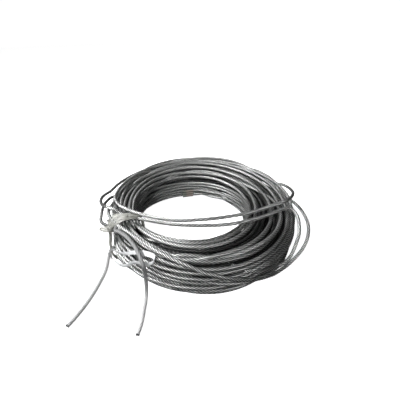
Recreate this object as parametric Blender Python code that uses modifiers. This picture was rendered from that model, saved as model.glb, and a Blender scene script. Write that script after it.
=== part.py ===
"""Hand-wound coil of thin galvanised wire rope, lying flat and tied with a strip of film."""

import math

import bmesh
import bpy
import numpy as np
from mathutils import Matrix, Vector

MM = 0.001

# Rope and coil
ROPE_DIAMETER = 4.0 * MM
COIL_OUTER_RADIUS = 115.0 * MM
COIL_BORE_RADIUS = 68.0 * MM
COIL_HEIGHT = 48.0 * MM
COIL_EDGE_RADIUS = 12.0 * MM
TURNS_SHOWN_ROUND_SECTION = 28
COIL_STEPS = 40
RIDGE_ANGLES = (-66.0, -24.0, 24.0, 66.0)

# Clearance between touching pieces
CLEARANCE = 0.3 * MM

# Film that ties the bundle, and its knot
TIE_AZIMUTH = 213.0
TIE_WIDTH = 10.0 * MM
TIE_THICKNESS = 0.5 * MM
TIE_SLOT_DEPTH = 1.2 * MM
TIE_SHOULDER_WIDTH = 8.0 * MM
TIE_SHOULDER_HEIGHT = 12.0 * MM
KNOT_SIZE = (6.0 * MM, 10.0 * MM, 9.0 * MM)

# Ribbon folded against the outer wall
RIBBON_WIDTH = 5.0 * MM
RIBBON_THICKNESS = 0.4 * MM
RIBBON_FOLD_GAP = 1.2 * MM
RIBBON_FOLD_ANGLE = 1.2

# Runs of the ribbon: azimuth in degrees, and height as a share of the coil's
RIBBON_UPPER_RUN = (
    (217.0, 0.483), (224.2, 0.642), (230.5, 0.781), (234.8, 0.881),
    (238.1, 0.938), (242.4, 0.965), (245.1, 0.971), (248.0, 0.967),
)
RIBBON_LOWER_RUN = (
    (248.4, 0.902), (246.0, 0.844), (241.3, 0.804), (237.6, 0.727),
    (234.2, 0.588), (229.3, 0.406), (224.0, 0.267), (218.5, 0.179),
)

# Patch of tape on the wall of the bore
TAPE_AZIMUTHS = (99.5, 111.5)
TAPE_HEIGHT = 12.0 * MM
TAPE_THICKNESS = 0.4 * MM

# Routes of the loose rope, in millimetres from the coil's axis on the floor
ROUTE_SPACING = 11.0 * MM
UPPER_TURN = (
    (80.7, 86.5, 37.0), (93.0, 72.6, 37.4), (103.2, 57.2, 38.2), (109.0, 43.4, 39.6),
    (114.7, 36.9, 41.8), (119.1, 25.7, 44.6), (120.1, 14.1, 47.4), (118.8, 3.3, 50.0),
    (113.8, -7.9, 52.4), (107.5, -16.2, 54.0), (100.1, -22.3, 54.8), (91.3, -25.2, 53.2),
    (78.3, -29.3, 50.9), (64.8, -35.6, 50.5), (44.9, -42.4, 50.5), (18.1, -48.6, 50.5),
    (-7.9, -51.5, 50.5), (-22.9, -51.9, 50.5), (-38.4, -48.8, 50.5), (-52.0, -44.9, 50.5),
    (-62.5, -41.0, 50.5), (-73.4, -35.6, 50.5), (-82.3, -30.1, 50.5), (-89.9, -24.3, 50.5),
    (-96.1, -16.6, 50.5), (-99.7, -7.8, 50.6), (-100.4, 2.7, 50.7), (-98.8, 14.2, 50.8),
    (-95.2, 26.7, 50.8), (-89.9, 38.8, 50.7),
)
LOWER_TURN = (
    (-81.2, -46.7, 50.5), (-72.3, -47.6, 50.5), (-63.3, -48.8, 50.5), (-50.9, -52.2, 50.5),
    (-37.6, -55.8, 50.5), (-22.4, -58.9, 50.5), (-7.6, -59.9, 50.5), (5.0, -60.2, 50.5),
    (17.6, -60.0, 50.5), (30.3, -58.9, 50.5), (43.3, -55.9, 50.5), (62.5, -49.5, 50.5),
    (76.8, -42.8, 50.5), (87.7, -36.7, 50.6), (96.5, -31.8, 50.5), (103.0, -29.0, 50.1),
    (108.6, -29.6, 48.5), (112.2, -34.2, 45.9), (113.8, -40.6, 42.4), (113.3, -50.1, 36.5),
    (111.3, -56.6, 32.0), (108.2, -62.2, 27.5), (105.5, -66.6, 23.0), (102.7, -70.2, 18.5),
    (98.6, -73.8, 14.5), (92.3, -78.0, 12.0), (84.3, -82.2, 11.3), (71.9, -93.2, 19.7),
    (60.7, -100.9, 25.3),
)
FRONT_TURN = (
    (-99.6, -27.2, 50.7), (-100.3, -32.3, 50.4), (-99.4, -38.0, 50.2), (-96.2, -44.6, 50.3),
    (-91.3, -51.5, 50.4), (-84.8, -58.4, 50.6), (-75.5, -66.4, 50.6), (-66.7, -73.8, 50.6),
    (-52.5, -85.9, 50.6), (-43.7, -92.8, 50.4), (-34.8, -99.5, 50.2), (-26.5, -104.4, 49.6),
    (-18.9, -108.2, 48.7), (-11.5, -111.2, 47.3), (-3.7, -113.8, 45.6), (3.8, -115.5, 43.0),
    (11.0, -116.3, 40.2), (26.9, -114.3, 32.1), (41.0, -110.0, 24.4), (54.1, -104.3, 17.8),
    (66.1, -97.2, 11.9), (81.2, -86.4, 4.8), (90.5, -79.7, 3.6), (98.9, -74.0, 4.6),
    (105.4, -69.4, 7.0), (110.3, -66.5, 11.0), (116.2, -62.2, 16.0), (120.8, -57.2, 21.0),
    (124.2, -51.9, 26.0), (127.1, -43.4, 30.5), (128.0, -34.8, 34.0), (126.9, -24.3, 36.6),
    (124.9, -13.2, 38.0), (121.8, -2.4, 38.0), (118.6, 7.7, 37.0), (115.2, 26.6, 34.6),
    (110.1, 42.3, 32.8), (103.0, 57.1, 31.6),
)
LEFT_TURN_OUTER = (
    (-80.4, 86.2, 38.0), (-93.0, 72.6, 38.2), (-103.6, 57.4, 38.2), (-110.9, 43.7, 38.2),
    (-116.4, 24.7, 38.6), (-120.6, 13.9, 40.0), (-121.0, 2.6, 42.2), (-117.8, -9.0, 45.2),
    (-112.8, -19.2, 48.7), (-107.2, -27.4, 52.0), (-100.8, -33.8, 54.9), (-94.2, -37.8, 55.2),
    (-88.2, -40.0, 52.8), (-82.6, -41.2, 50.6),
)
LEFT_TURN_INNER = (
    (-97.7, 65.9, 21.0), (-106.4, 51.9, 21.6), (-113.2, 37.9, 23.2), (-118.4, 27.7, 26.6),
    (-120.1, 15.5, 29.4), (-119.9, 3.3, 31.6), (-118.6, -7.2, 33.0), (-116.7, -17.4, 33.6),
    (-114.0, -29.5, 33.6), (-110.2, -41.2, 32.8), (-105.8, -51.6, 31.4),
)
FRONT_TAIL = (
    (-84.0, -67.6, 49.7), (-78.8, -70.8, 50.4), (-70.6, -77.6, 50.6), (-62.5, -86.8, 50.1),
    (-56.4, -96.3, 50.2), (-51.5, -104.9, 47.1), (-48.9, -109.5, 42.2), (-48.7, -109.3, 31.0),
    (-48.9, -110.1, 20.4), (-49.4, -111.1, 12.6), (-49.8, -114.3, 6.0), (-50.1, -119.5, 3.0),
    (-50.3, -127.5, 2.1), (-50.3, -139.2, 2.1), (-51.9, -150.7, 2.1),
)
LEFT_TAIL = (
    (-103.4, -50.6, 2.1), (-102.7, -60.7, 2.1), (-100.9, -72.6, 2.1), (-100.6, -82.5, 2.1),
    (-101.5, -91.2, 2.1), (-103.8, -105.6, 2.1), (-107.3, -119.8, 2.1), (-112.0, -132.9, 2.1),
    (-116.5, -142.7, 2.1),
)


def clear_scene():
    for old in list(bpy.data.objects):
        bpy.data.objects.remove(old, do_unlink=True)


def new_collection(name):
    collection = bpy.data.collections.new(name)
    bpy.context.scene.collection.children.link(collection)
    return collection


def new_material(name, colour, roughness, metallic=0.0):
    material = bpy.data.materials.new(name)
    material.use_nodes = True
    shader = material.node_tree.nodes["Principled BSDF"]
    shader.inputs["Base Color"].default_value = (*colour, 1.0)
    shader.inputs["Roughness"].default_value = roughness
    shader.inputs["Metallic"].default_value = metallic
    return material


def add_object(name, data, material, collection):
    data.materials.append(material)
    piece = bpy.data.objects.new(name, data)
    collection.objects.link(piece)
    return piece


def around(azimuth, radius, height=0.0):
    """Point at an azimuth in degrees round the coil's axis."""
    angle = math.radians(azimuth)
    return Vector((radius * math.cos(angle), radius * math.sin(angle), height))


def rounded_section(half_width, half_height, corner, count):
    """Evenly spaced points round a rounded rectangle, each with its outward normal."""
    straight_side = 2 * (half_height - corner)
    straight_end = 2 * (half_width - corner)
    quarter = math.pi / 2 * corner
    lengths = (straight_end / 2, quarter, straight_side, quarter, straight_end, quarter,
               straight_side, quarter, straight_end / 2)
    corners = ((half_width - corner, corner - half_height), (half_width - corner, half_height - corner),
               (corner - half_width, half_height - corner), (corner - half_width, corner - half_height))
    perimeter = sum(lengths)
    for index in range(count):
        along = index * perimeter / count
        leg = 0
        while along > lengths[leg]:
            along -= lengths[leg]
            leg += 1
        if leg % 2 == 1:
            turn = -math.pi / 2 + leg // 2 * math.pi / 2 + along / corner
            normal = np.array((math.cos(turn), math.sin(turn)))
            yield np.array(corners[leg // 2]) + corner * normal, normal
        elif leg in (0, 8):
            start = 0.0 if leg == 0 else corner - half_width
            yield np.array((start + along, -half_height)), np.array((0.0, -1.0))
        elif leg == 4:
            yield np.array((half_width - corner - along, half_height)), np.array((0.0, 1.0))
        elif leg == 2:
            yield np.array((half_width, corner - half_height + along)), np.array((1.0, 0.0))
        else:
            yield np.array((-half_width, half_height - corner - along)), np.array((-1.0, 0.0))


def coil_profile():
    """Section of the bundle: a ridge for each turn that shows, flat-crested so that it rests on lands."""
    mid_radius = (COIL_OUTER_RADIUS + COIL_BORE_RADIUS) / 2
    half_width = (COIL_OUTER_RADIUS - COIL_BORE_RADIUS) / 2
    half_height = COIL_HEIGHT / 2
    perimeter = 4 * (half_width + half_height) - (8 - 2 * math.pi) * COIL_EDGE_RADIUS
    ridge = perimeter / TURNS_SHOWN_ROUND_SECTION / 2
    crest = ridge * math.cos(math.radians(RIDGE_ANGLES[1]))
    section = rounded_section(half_width - crest, half_height - crest, COIL_EDGE_RADIUS - crest,
                              TURNS_SHOWN_ROUND_SECTION)
    points = []
    for centre, normal in section:
        tangent = np.array((-normal[1], normal[0]))
        for degrees in RIDGE_ANGLES:
            angle = math.radians(degrees)
            radial, height = centre + ridge * (math.cos(angle) * normal + math.sin(angle) * tangent)
            radial = min(max(radial, -half_width), half_width)
            height = min(max(height, -half_height), half_height)
            points.append((mid_radius + radial, 0.0, half_height + height))
    points.reverse()
    return points


def make_coil(material, collection, cutter_collection):
    points = coil_profile()
    profile = bpy.data.meshes.new("rope_coil")
    profile.from_pydata(points, [(i, (i + 1) % len(points)) for i in range(len(points))], [])
    coil = add_object("rope_coil", profile, material, collection)
    screw = coil.modifiers.new("turn", "SCREW")
    screw.axis = "Z"
    screw.steps = COIL_STEPS
    screw.render_steps = COIL_STEPS
    screw.use_merge_vertices = True
    screw.merge_threshold = 0.00001
    screw.use_smooth_shade = True

    cutter_mesh = bpy.data.meshes.new("tie_slot_cutter")
    box = bmesh.new()
    bmesh.ops.create_cube(box, size=1.0)
    margin = 4 * CLEARANCE
    length = COIL_OUTER_RADIUS - COIL_BORE_RADIUS + 2 * margin
    scale = Matrix.Diagonal((length, TIE_WIDTH + 2 * CLEARANCE, 2 * TIE_SLOT_DEPTH, 1.0))
    bmesh.ops.transform(box, matrix=scale, verts=box.verts)
    box.to_mesh(cutter_mesh)
    box.free()
    cutter = bpy.data.objects.new("tie_slot_cutter", cutter_mesh)
    cutter.location = around(TIE_AZIMUTH, (COIL_OUTER_RADIUS + COIL_BORE_RADIUS) / 2)
    cutter.rotation_euler = (0.0, 0.0, math.radians(TIE_AZIMUTH))
    cutter.hide_render = True
    cutter.display_type = "WIRE"
    cutter_collection.objects.link(cutter)
    slot = coil.modifiers.new("tie_slot", "BOOLEAN")
    slot.operation = "DIFFERENCE"
    slot.object = cutter
    return coil


def smooth_route(points):
    """Points every few millimetres on one smooth curve through the route's own points."""
    knots = [Vector(point) * MM for point in points]
    padded = [2 * knots[0] - knots[1], *knots, 2 * knots[-1] - knots[-2]]
    fine = []
    for before, start, end, after in zip(padded, padded[1:], padded[2:], padded[3:]):
        for step in range(12):
            u = step / 12
            fine.append(0.5 * (2 * start + (end - before) * u
                               + (2 * before - 5 * start + 4 * end - after) * u * u
                               + (3 * start - before - 3 * end + after) * u ** 3))
    fine.append(knots[-1])
    lengths = [0.0]
    for first, second in zip(fine, fine[1:]):
        lengths.append(lengths[-1] + (second - first).length)
    count = max(2, round(lengths[-1] / ROUTE_SPACING) + 1)
    table = np.array([list(point) for point in fine])
    stations = np.linspace(0.0, lengths[-1], count)
    return [Vector([float(np.interp(s, lengths, table[:, axis])) for axis in range(3)]) for s in stations]


def make_loose_rope(name, route, material, collection):
    curve = bpy.data.curves.new(name, "CURVE")
    curve.dimensions = "3D"
    curve.bevel_depth = ROPE_DIAMETER / 2
    curve.bevel_resolution = 2
    curve.use_fill_caps = True
    stations = smooth_route(route)
    spline = curve.splines.new("POLY")
    spline.points.add(len(stations) - 1)
    for point, place in zip(spline.points, stations):
        point.co = (*place, 1.0)
    spline.use_smooth = True
    return add_object(name, curve, material, collection)


def tie_outline(grow):
    """Loop of film round the section, seen along the rope, as distance from the axis and height."""
    strand_top = COIL_HEIGHT + ROPE_DIAMETER + 3 * CLEARANCE + grow
    bore_side = COIL_BORE_RADIUS * math.cos(math.pi / COIL_STEPS) - CLEARANCE - grow
    outer_side = COIL_OUTER_RADIUS + CLEARANCE + grow
    bottom = TIE_SLOT_DEPTH - 2 * CLEARANCE - grow
    chamfer = ROPE_DIAMETER / 4
    return (
        (bore_side, bottom), (outer_side, bottom), (outer_side, strand_top - TIE_SHOULDER_HEIGHT),
        (outer_side - TIE_SHOULDER_WIDTH, strand_top), (bore_side + chamfer, strand_top),
        (bore_side, strand_top - chamfer),
    )


def make_tie(material, collection):
    outline = bpy.data.curves.new("film_tie", "CURVE")
    outline.dimensions = "2D"
    outline.fill_mode = "BOTH"
    outline.extrude = TIE_WIDTH / 2
    for corners in (tie_outline(TIE_THICKNESS), tie_outline(0.0)):
        spline = outline.splines.new("POLY")
        spline.points.add(len(corners) - 1)
        for point, (radius, height) in zip(spline.points, corners):
            point.co = (radius, height, 0.0, 1.0)
        spline.use_cyclic_u = True
    tie = add_object("film_tie", outline, material, collection)
    tie.rotation_euler = (math.pi / 2, 0.0, math.radians(TIE_AZIMUTH))
    return tie


def make_knot(material, collection):
    mesh = bpy.data.meshes.new("film_knot")
    ball = bmesh.new()
    bmesh.ops.create_uvsphere(ball, u_segments=14, v_segments=8, radius=0.5)
    bmesh.ops.transform(ball, matrix=Matrix.Diagonal((*KNOT_SIZE, 1.0)), verts=ball.verts)
    ball.to_mesh(mesh)
    ball.free()
    mesh.shade_smooth()
    knot = add_object("film_knot", mesh, material, collection)
    outline = tie_outline(TIE_THICKNESS)
    radius, height = (np.array(outline[2]) + np.array(outline[3])) / 2
    slope = math.atan2(TIE_SHOULDER_WIDTH, TIE_SHOULDER_HEIGHT)
    reach = CLEARANCE + KNOT_SIZE[0] / 2
    knot.location = around(TIE_AZIMUTH, radius + reach * math.cos(slope), height + reach * math.sin(slope))
    knot.rotation_euler = (0.0, -slope, math.radians(TIE_AZIMUTH))
    return knot


def beside_wall(azimuth, height_share, gap):
    """Point at a gap from the outer wall and its rounded corners, and the way up along the wall there."""
    height = height_share * COIL_HEIGHT
    edge = COIL_EDGE_RADIUS
    past = max(height - (COIL_HEIGHT - edge), 0.0) - max(edge - height, 0.0)
    angle = math.asin(past / (edge + gap))
    radius = COIL_OUTER_RADIUS - edge + (edge + gap) * math.cos(angle)
    return around(azimuth, radius, height), around(azimuth, -math.sin(angle), math.cos(angle))


def make_strip(name, stations, width, thickness, material, collection):
    """Strip across its stations, each a centre with the way up, given its thickness by Solidify."""
    mesh = bpy.data.meshes.new(name)
    band = bmesh.new()
    rows = [(band.verts.new(centre - up * width / 2), band.verts.new(centre + up * width / 2))
            for centre, up in stations]
    for (low, high), (next_low, next_high) in zip(rows, rows[1:]):
        band.faces.new((low, next_low, next_high, high))
    band.to_mesh(mesh)
    band.free()
    mesh.shade_smooth()
    strip = add_object(name, mesh, material, collection)
    solid = strip.modifiers.new("thickness", "SOLIDIFY")
    solid.thickness = thickness
    solid.offset = 0.0
    solid.use_even_offset = True
    return strip


def make_ribbon(material, collection):
    inner_gap = 2 * CLEARANCE + RIBBON_THICKNESS
    outer_gap = inner_gap + RIBBON_FOLD_GAP
    fold_share = (RIBBON_UPPER_RUN[-1][1] + RIBBON_LOWER_RUN[0][1]) / 2
    fold_azimuth = RIBBON_UPPER_RUN[-1][0] + RIBBON_FOLD_ANGLE
    stations = [beside_wall(azimuth, share, inner_gap) for azimuth, share in RIBBON_UPPER_RUN]
    stations.append(beside_wall(fold_azimuth, fold_share, (inner_gap + outer_gap) / 2))
    stations.extend(beside_wall(azimuth, share, outer_gap) for azimuth, share in RIBBON_LOWER_RUN)
    return make_strip("ribbon_loop", stations, RIBBON_WIDTH, RIBBON_THICKNESS, material, collection)


def make_tape(material, collection):
    radius = COIL_BORE_RADIUS * math.cos(math.pi / COIL_STEPS) - CLEARANCE - TAPE_THICKNESS / 2
    middle = TAPE_HEIGHT / 2 + 2 * CLEARANCE
    up = Vector((0.0, 0.0, 1.0))
    stations = [(around(azimuth, radius, middle), up) for azimuth in np.linspace(*TAPE_AZIMUTHS, 7)]
    return make_strip("tape_patch", stations, TAPE_HEIGHT, TAPE_THICKNESS, material, collection)


def shift_to_origin(pieces):
    """Move that brings the middle of the pieces' box, at floor level, to the origin."""
    bpy.context.view_layer.update()
    graph = bpy.context.evaluated_depsgraph_get()
    corners = []
    for piece in pieces:
        evaluated = piece.evaluated_get(graph)
        mesh = evaluated.to_mesh()
        corners.extend(piece.matrix_world @ vertex.co for vertex in mesh.vertices)
        evaluated.to_mesh_clear()
    low = [min(corner[axis] for corner in corners) for axis in range(3)]
    high = [max(corner[axis] for corner in corners) for axis in range(3)]
    return Vector((-(low[0] + high[0]) / 2, -(low[1] + high[1]) / 2, -low[2]))


def build():
    clear_scene()
    collection = new_collection("wire_rope_coil")
    cutters = new_collection("cutters")
    galvanised = new_material("galvanised_wire", (0.42, 0.43, 0.42), 0.42, 0.85)
    film = new_material("clear_film", (0.80, 0.80, 0.77), 0.35)
    ribbon = new_material("white_ribbon", (0.86, 0.87, 0.88), 0.45)
    tape = new_material("beige_tape", (0.42, 0.35, 0.30), 0.7)

    pieces = [
        make_coil(galvanised, collection, cutters),
        make_loose_rope("loose_turn_upper", UPPER_TURN, galvanised, collection),
        make_loose_rope("loose_turn_lower", LOWER_TURN, galvanised, collection),
        make_loose_rope("loose_turn_front", FRONT_TURN, galvanised, collection),
        make_loose_rope("loose_turn_left_outer", LEFT_TURN_OUTER, galvanised, collection),
        make_loose_rope("loose_turn_left_inner", LEFT_TURN_INNER, galvanised, collection),
        make_loose_rope("rope_tail_front", FRONT_TAIL, galvanised, collection),
        make_loose_rope("rope_tail_left", LEFT_TAIL, galvanised, collection),
        make_tie(film, collection),
        make_knot(film, collection),
        make_ribbon(ribbon, collection),
        make_tape(tape, collection),
    ]
    origin = bpy.data.objects.new("coil_origin", None)
    collection.objects.link(origin)
    shift = shift_to_origin(pieces)
    for piece in [*pieces, *cutters.objects]:
        piece.parent = origin
    origin.location = shift
    bpy.context.view_layer.update()


build()
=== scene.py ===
"""Looks of a hand-wound coil of thin galvanised wire rope, tied with split film."""

import math

import bpy
import numpy as np
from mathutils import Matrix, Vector


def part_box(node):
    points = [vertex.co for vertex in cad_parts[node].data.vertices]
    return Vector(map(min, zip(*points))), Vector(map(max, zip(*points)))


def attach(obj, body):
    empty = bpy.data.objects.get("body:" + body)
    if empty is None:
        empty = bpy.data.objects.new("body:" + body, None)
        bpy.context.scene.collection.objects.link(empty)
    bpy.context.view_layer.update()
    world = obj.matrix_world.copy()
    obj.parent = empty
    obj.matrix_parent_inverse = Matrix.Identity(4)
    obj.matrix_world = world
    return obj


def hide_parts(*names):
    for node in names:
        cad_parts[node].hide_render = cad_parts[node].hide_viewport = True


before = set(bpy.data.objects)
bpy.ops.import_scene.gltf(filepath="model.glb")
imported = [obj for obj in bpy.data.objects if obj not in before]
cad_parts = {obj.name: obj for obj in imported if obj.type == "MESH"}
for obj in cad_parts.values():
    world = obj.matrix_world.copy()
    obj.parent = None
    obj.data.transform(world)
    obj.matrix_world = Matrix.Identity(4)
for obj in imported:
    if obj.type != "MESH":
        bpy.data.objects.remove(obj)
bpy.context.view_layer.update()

MM = 0.001
ROPE_DIAMETER = 4.0 * MM
ROPE_RADIUS = ROPE_DIAMETER / 2

# Make of the rope: strands laid right-handed round a core
STRANDS = 6
LAY_LENGTH = 6.5 * ROPE_DIAMETER
GROOVE_FLOOR = 0.79

# The coil's axis, on the floor
COIL_LOW, COIL_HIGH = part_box("rope_coil")
AXIS = np.array(((COIL_LOW[0] + COIL_HIGH[0]) / 2, (COIL_LOW[1] + COIL_HIGH[1]) / 2, 0.0))

# Bundle of wound turns: its section goes from the bore's circle to an outer line that swings a little
OUTER_RADIUS = 115.6 * MM
OUTER_SWINGS = ((1, 2.4 * MM, 1.1 * MM), (2, 0.5 * MM, -1.3 * MM))
BORE_RADIUS = 67.4 * MM
BORE_CENTRE = np.array((-8.3, -3.8)) * MM
BUNDLE_HEIGHT = 48.0 * MM
SECTION_POWER = 7.0
OVERLAY_PROUD = 1.8 * MM
HEIGHT_LIMIT = 50.0 * MM

# The tie pulls the bundle in at the left, all but its lowest turns, and a little down
TIE_AZIMUTH = math.radians(213.0)
TIE_PINCH = 11.5 * MM
TIE_PINCH_AZIMUTH = math.radians(199.0)
TIE_PINCH_ANGLE = math.radians(24.0)
TIE_LOWERING = 0.05
LEFT_FOOT = 8.0 * MM
LEFT_FOOT_AZIMUTH = math.radians(209.0)
LEFT_FOOT_ANGLE = math.radians(20.0)
LEFT_FOOT_TOP = 44.0 * MM

# Turns in each layer, from the core outwards, and those that lie over the last layer
LAYERS = ((0.14, 5), (0.34, 13), (0.58, 22), (1.0, 21))
OVERLAY_TURNS = 9
STEPS_PER_TURN = 120
WANDER = 0.14
OVERLAY_WANDER = 0.8
PROUD_WANDER = 0.35 * MM
SLOW_SWINGS = ((1, 1.0), (2, 0.7), (3, 0.45), (5, 0.2))
SLOW_SWINGS_SIZE = 1.3
SEED = 11

# How the turns settle against each other
SETTLE_ROUNDS = 160
SETTLE_SPACING = ROPE_DIAMETER * 1.01
SETTLE_PUSH = 0.42
SETTLE_SMOOTHING = 0.22

# Detail of the rope's pieces: sides for each strand, and spacing of the points along it
CORE_DETAIL = (2, 3.0 * MM)
OUTER_DETAIL = (3, 2.3 * MM)
LOOSE_DETAIL = (5, 1.6 * MM)
OUTER_PIECE_TURNS = 12

# The turns turn round the section at the front, and leave a gap between those on top and those on the wall
FAN_AZIMUTH = math.radians(-75.0)
FAN_SPREAD = math.radians(55.0)
FAN_TURN = -0.6
GAP_ANGLE = 1.84
GAP_WIDTH = 0.22
GAP_SPREAD = 0.5

# Rope: colours in the grooves (grease and painted shade), on the greasy flanks (grease and painted shade)
# and on the strands' crests (painted highlight), and roughness
GROOVE_SHADE_COLOUR = (0.006, 0.006, 0.006)
GREASE_AND_SHADE_COLOUR = (0.13, 0.132, 0.13)
CREST_HIGHLIGHT_COLOUR = (0.93, 0.94, 0.93)
# The hidden turns' colours, a darker copy of those above: painted shade
CORE_SHADED_GREASE_COLOUR = (0.05, 0.051, 0.05)
CORE_SHADED_CREST_COLOUR = (0.36, 0.365, 0.36)
STRAND_METALLIC = 0.85
STRAND_ROUGHNESS = (0.30, 0.38)
# The tails' colours, a lighter copy of those above: painted light, with painted shade in the grooves and
# painted highlight on the crests
TAIL_GROOVE_SHADE_COLOUR = (0.14, 0.142, 0.145)
TAIL_LIT_FLANK_COLOUR = (0.68, 0.685, 0.69)
TAIL_CREST_HIGHLIGHT_COLOUR = (0.97, 0.975, 0.98)
TAIL_METALLIC = 0.35
TAIL_ROUGHNESS = (0.50, 0.60)
# Heights between which the tails' colour darkens towards their tops, and its factors there: painted shade
TOP_SHADE_HEIGHTS = (10.0 * MM, 40.0 * MM)
TOP_SHADE_FACTORS = (1.0, 0.50)

# Rope: patches of grease and greasier lengths of each strand, with the range of shade of each, and the ribs
# that its wires make, counted round the rope
PATCH_SCALE = 420.0
PATCH_SHADE = (0.84, 1.12)
LENGTHS_PER_LAY = 0.12
LENGTHS_SHADE = (0.66, 1.15)
WIRE_RIBS = 30.0
WAVE_SCALE = 1.0 / 3.0
WIRE_DEPTH = 0.1 * MM

# Film, ribbon and tape: ramps of positions and colours, scales of the noises and how far they are drawn out
# lengthwise, ranges of shade and roughness, and depths of the creases
FILM_COLOURS = ((0.34, (0.15, 0.15, 0.135)), (0.5, (0.35, 0.35, 0.32)), (0.68, (0.58, 0.58, 0.545)))
FILM_STREAK_SCALE = 1500.0
FILM_STREAK_STRETCH = (1.0, 0.06, 1.0)
FILM_CRUMPLE_SCALE = 260.0
FILM_SHADE = (0.80, 1.1)
FILM_ROUGHNESS = (0.22, 0.45)
FILM_TRANSMISSION = 0.22
FILM_IOR = 1.45
FILM_CREASE_DEPTH = 0.6 * MM
RIBBON_COLOURS = ((0.3, (0.56, 0.58, 0.60)), (0.5, (0.68, 0.69, 0.70)), (0.75, (0.80, 0.80, 0.80)))
RIBBON_THREAD_SCALE = 2600.0
RIBBON_THREAD_STRETCH = (1.0, 0.03, 1.0)
RIBBON_CREASE_SCALE = 140.0
RIBBON_SHADE = (0.86, 1.05)
RIBBON_ROUGHNESS = (0.28, 0.42)
RIBBON_SHEEN = 0.2
RIBBON_CREASE_DEPTH = 0.4 * MM
TAPE_BEIGE = (0.29, 0.25, 0.22)
TAPE_GREEN = (0.20, 0.21, 0.18)
TAPE_COLOURS = ((0.0, TAPE_BEIGE), (0.60, TAPE_BEIGE), (0.66, TAPE_GREEN), (1.0, TAPE_GREEN))
TAPE_FIBRE_SCALE = 900.0
TAPE_SHADE = (0.82, 1.12)
TAPE_ROUGHNESS = (0.62, 0.85)
TAPE_CREASE_DEPTH = 0.3 * MM

# Routes of the loose rope, in millimetres from the coil's axis on the floor
UPPER_TURN = (
    (80.7, 86.5, 37.0), (93.0, 72.6, 37.4), (103.2, 57.2, 38.2), (109.0, 43.4, 39.6),
    (114.7, 36.9, 41.8), (119.1, 25.7, 44.6), (120.1, 14.1, 47.4), (118.8, 3.3, 50.0),
    (113.8, -7.9, 52.4), (107.5, -16.2, 54.0), (100.1, -22.3, 54.8), (91.3, -25.2, 53.2),
    (78.3, -29.3, 50.9), (64.8, -35.6, 50.5), (44.9, -42.4, 50.5), (18.1, -48.6, 50.5),
    (-7.9, -51.5, 50.5), (-22.9, -51.9, 50.5), (-38.4, -48.8, 50.5), (-52.0, -44.9, 50.5),
    (-62.5, -41.0, 50.5), (-73.4, -35.6, 50.5), (-82.3, -30.1, 50.5), (-89.9, -24.3, 50.5),
    (-96.1, -16.6, 50.5), (-99.7, -7.8, 50.6), (-100.4, 2.7, 50.7), (-98.8, 14.2, 50.8),
    (-95.2, 26.7, 50.8), (-89.9, 38.8, 50.7),
)
LOWER_TURN = (
    (-81.2, -46.7, 50.5), (-72.3, -47.6, 50.5), (-63.3, -48.8, 50.5), (-50.9, -52.2, 50.5),
    (-37.6, -55.8, 50.5), (-22.4, -58.9, 50.5), (-7.6, -59.9, 50.5), (5.0, -60.2, 50.5),
    (17.6, -60.0, 50.5), (30.3, -58.9, 50.5), (43.3, -55.9, 50.5), (62.5, -49.5, 50.5),
    (76.8, -42.8, 50.5), (87.7, -36.7, 50.6), (96.5, -31.8, 50.5), (103.0, -29.0, 50.1),
    (108.6, -29.6, 48.5), (112.2, -34.2, 45.9), (113.8, -40.6, 42.4), (113.3, -50.1, 36.5),
    (111.3, -56.6, 32.0), (108.2, -62.2, 27.5), (105.5, -66.6, 23.0), (102.7, -70.2, 18.5),
    (98.6, -73.8, 14.5), (92.3, -78.0, 12.0), (84.3, -82.2, 11.3), (71.9, -93.2, 19.7),
    (60.7, -100.9, 25.3),
)
FRONT_TURN = (
    (-99.6, -27.2, 50.7), (-100.3, -32.3, 50.4), (-99.4, -38.0, 50.2), (-96.2, -44.6, 50.3),
    (-91.3, -51.5, 50.4), (-84.8, -58.4, 50.6), (-75.5, -66.4, 50.6), (-66.7, -73.8, 50.6),
    (-52.5, -85.9, 50.6), (-43.7, -92.8, 50.4), (-34.8, -99.5, 50.2), (-26.5, -104.4, 49.6),
    (-18.9, -108.2, 48.7), (-11.5, -111.2, 47.3), (-3.7, -113.8, 45.6), (3.8, -115.5, 43.0),
    (11.0, -116.3, 40.2), (26.9, -114.3, 32.1), (41.0, -110.0, 24.4), (54.1, -104.3, 17.8),
    (66.1, -97.2, 11.9), (81.2, -86.4, 4.8), (90.5, -79.7, 3.6), (98.9, -74.0, 4.6),
    (105.4, -69.4, 7.0), (110.3, -66.5, 11.0), (116.2, -62.2, 16.0), (120.8, -57.2, 21.0),
    (124.2, -51.9, 26.0), (127.1, -43.4, 30.5), (128.0, -34.8, 34.0), (126.9, -24.3, 36.6),
    (124.9, -13.2, 38.0), (121.8, -2.4, 38.0), (118.6, 7.7, 37.0), (115.2, 26.6, 34.6),
    (110.1, 42.3, 32.8), (103.0, 57.1, 31.6),
)
LEFT_TURN_OUTER = (
    (-80.4, 86.2, 38.0), (-93.0, 72.6, 38.2), (-103.6, 57.4, 38.2), (-110.9, 43.7, 38.2),
    (-116.4, 24.7, 38.6), (-120.6, 13.9, 40.0), (-121.0, 2.6, 42.2), (-117.8, -9.0, 45.2),
    (-112.8, -19.2, 48.7), (-107.2, -27.4, 52.0), (-100.8, -33.8, 54.9), (-94.2, -37.8, 55.2),
    (-88.2, -40.0, 52.8), (-82.6, -41.2, 50.6),
)
LEFT_TURN_INNER = (
    (-97.7, 65.9, 21.0), (-106.4, 51.9, 21.6), (-113.2, 37.9, 23.2), (-118.4, 27.7, 26.6),
    (-120.1, 15.5, 29.4), (-119.9, 3.3, 31.6), (-118.6, -7.2, 33.0), (-116.7, -17.4, 33.6),
    (-114.0, -29.5, 33.6), (-110.2, -41.2, 32.8), (-105.8, -51.6, 31.4),
)
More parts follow.
